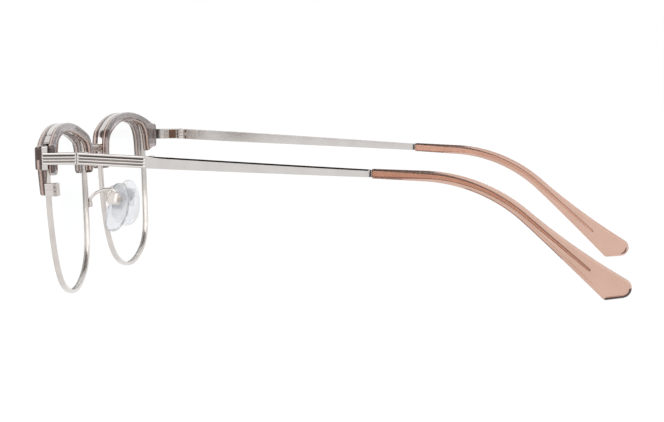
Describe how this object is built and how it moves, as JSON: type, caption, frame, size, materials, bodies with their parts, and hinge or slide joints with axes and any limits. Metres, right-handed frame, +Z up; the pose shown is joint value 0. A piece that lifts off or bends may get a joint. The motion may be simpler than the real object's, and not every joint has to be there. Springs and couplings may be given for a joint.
{
  "type": "browline glasses",
  "caption": "Open browline eyeglasses with metal rims, a layered translucent brow, rocking nose pads and folding metal temples with curved translucent tips.",
  "frame": {"origin": "on the table under the middle of the overall box, with the glasses open", "axes": "+X to the wearer's left, +Y backwards from the lenses to the temple tips, +Z up"},
  "size_m": [0.1356, 0.1494, 0.0445],
  "materials": {
    "rim_metal": "polished, warm silver",
    "hinge_metal": "satin",
    "screw_metal": "bright",
    "brow_plastic": "polished, translucent",
    "tip_plastic": "polished, translucent",
    "pad_plastic": "soft, translucent",
    "pad_insert_plastic": "clear",
    "lens": "polished, clear"
  },
  "bodies": {
    "front": {"bridge": "rim_metal", "left_lens": "lens", "left_eyewire": "rim_metal", "left_lock_upper": "rim_metal", "left_lock_lower": "rim_metal", "left_lock_screw": "screw_metal", "left_brow_front": "brow_plastic", "left_brow_rear": "brow_plastic", "left_brow_pin": "screw_metal", "left_endpiece": "rim_metal", "left_front_hinge": "hinge_metal", "left_hinge_screw": "screw_metal", "left_pad_arm": "rim_metal", "left_pad_box": "rim_metal", "left_pad_screw": "screw_metal", "right_lens": "lens", "right_eyewire": "rim_metal", "right_lock_upper": "rim_metal", "right_lock_lower": "rim_metal", "right_lock_screw": "screw_metal", "right_brow_front": "brow_plastic", "right_brow_rear": "brow_plastic", "right_brow_pin": "screw_metal", "right_endpiece": "rim_metal", "right_front_hinge": "hinge_metal", "right_hinge_screw": "screw_metal", "right_pad_arm": "rim_metal", "right_pad_box": "rim_metal", "right_pad_screw": "screw_metal"},
    "left_temple": {"left_temple_hinge": "hinge_metal", "left_temple_bar": "rim_metal", "left_tip_collar": "hinge_metal", "left_temple_tip": "tip_plastic"},
    "right_temple": {"right_temple_hinge": "hinge_metal", "right_temple_bar": "rim_metal", "right_tip_collar": "hinge_metal", "right_temple_tip": "tip_plastic"},
    "left_pad": {"left_pad_insert": "pad_insert_plastic", "left_nose_pad": "pad_plastic"},
    "right_pad": {"right_pad_insert": "pad_insert_plastic", "right_nose_pad": "pad_plastic"}
  },
  "joints": [
    {"name": "left_temple_fold", "type": "hinge", "parent": "front", "child": "left_temple", "pos_m": [0.0655, -0.05962, 0.03681], "axis": [0, 0, 1], "range_deg": [0, 87]},
    {"name": "right_temple_fold", "type": "hinge", "parent": "front", "child": "right_temple", "pos_m": [-0.0655, -0.05962, 0.03681], "axis": [0, 0, -1], "range_deg": [0, 83]},
    {"name": "left_pad_rock", "type": "hinge", "parent": "front", "child": "left_pad", "pos_m": [0.00794, -0.06444, 0.02242], "axis": [0.4226, 0.9063, 0], "range_deg": [-10, 10]},
    {"name": "right_pad_rock", "type": "hinge", "parent": "front", "child": "right_pad", "pos_m": [-0.00794, -0.06444, 0.02242], "axis": [-0.4226, 0.9063, 0], "range_deg": [-10, 10]}
  ]
}
